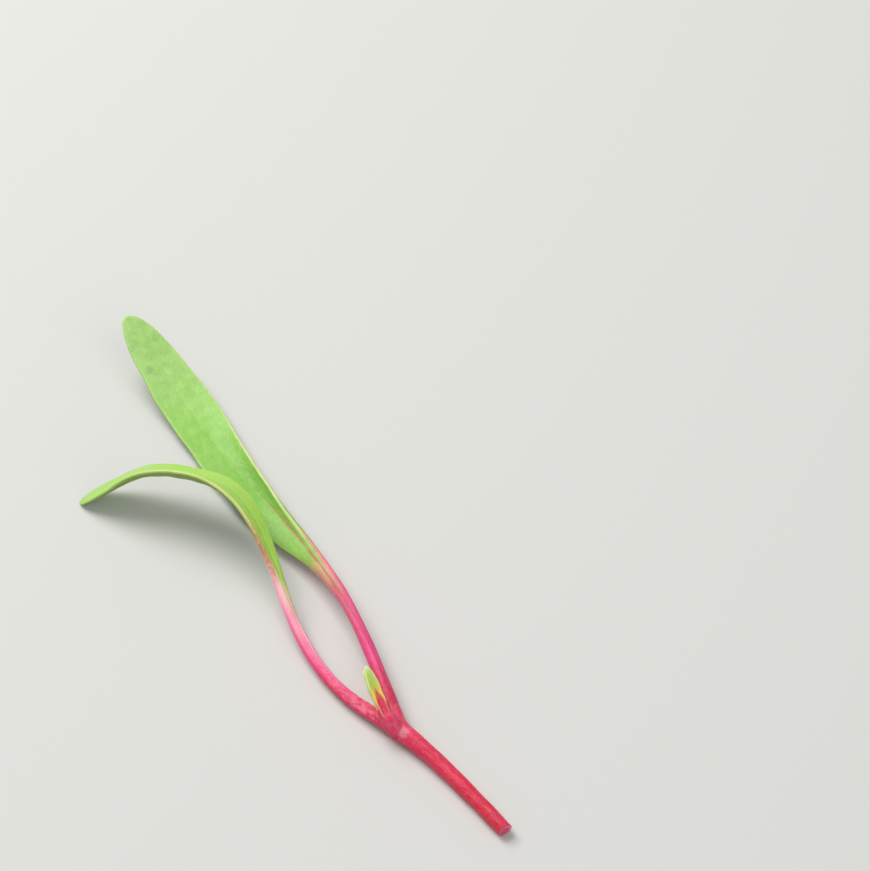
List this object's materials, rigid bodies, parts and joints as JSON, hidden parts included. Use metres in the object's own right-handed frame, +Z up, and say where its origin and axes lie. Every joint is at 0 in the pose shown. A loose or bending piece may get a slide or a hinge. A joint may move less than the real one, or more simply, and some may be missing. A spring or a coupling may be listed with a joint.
{
  "type": "beet seedling",
  "caption": "Cut beetroot seedling lying flat: a short stem forks into slender grooved stalks with long blunt seed leaves, the longer flat and the other arched, and a small folded bud.",
  "frame": {"origin": "middle of the seedling's footprint, on the surface it lies on", "axes": "+Z up; +Y from the cut end of the stem towards the tip of the longer seed leaf; +X towards the stem's side"},
  "size_m": [0.0342, 0.0502, 0.0058],
  "materials": {
    "stem": "satin red skin, moist",
    "seed_leaf": "smooth pale green leaf with a soft waxy sheen, on a rose-pink stalk",
    "true_leaf": "smooth yellow-green leaf, orange-red towards its base"
  },
  "bodies": {
    "root": {"stem": "stem", "long_seed_leaf": "seed_leaf", "arched_seed_leaf": "seed_leaf", "upper_true_leaf": "true_leaf", "lower_true_leaf": "true_leaf"}
  },
  "joints": []
}
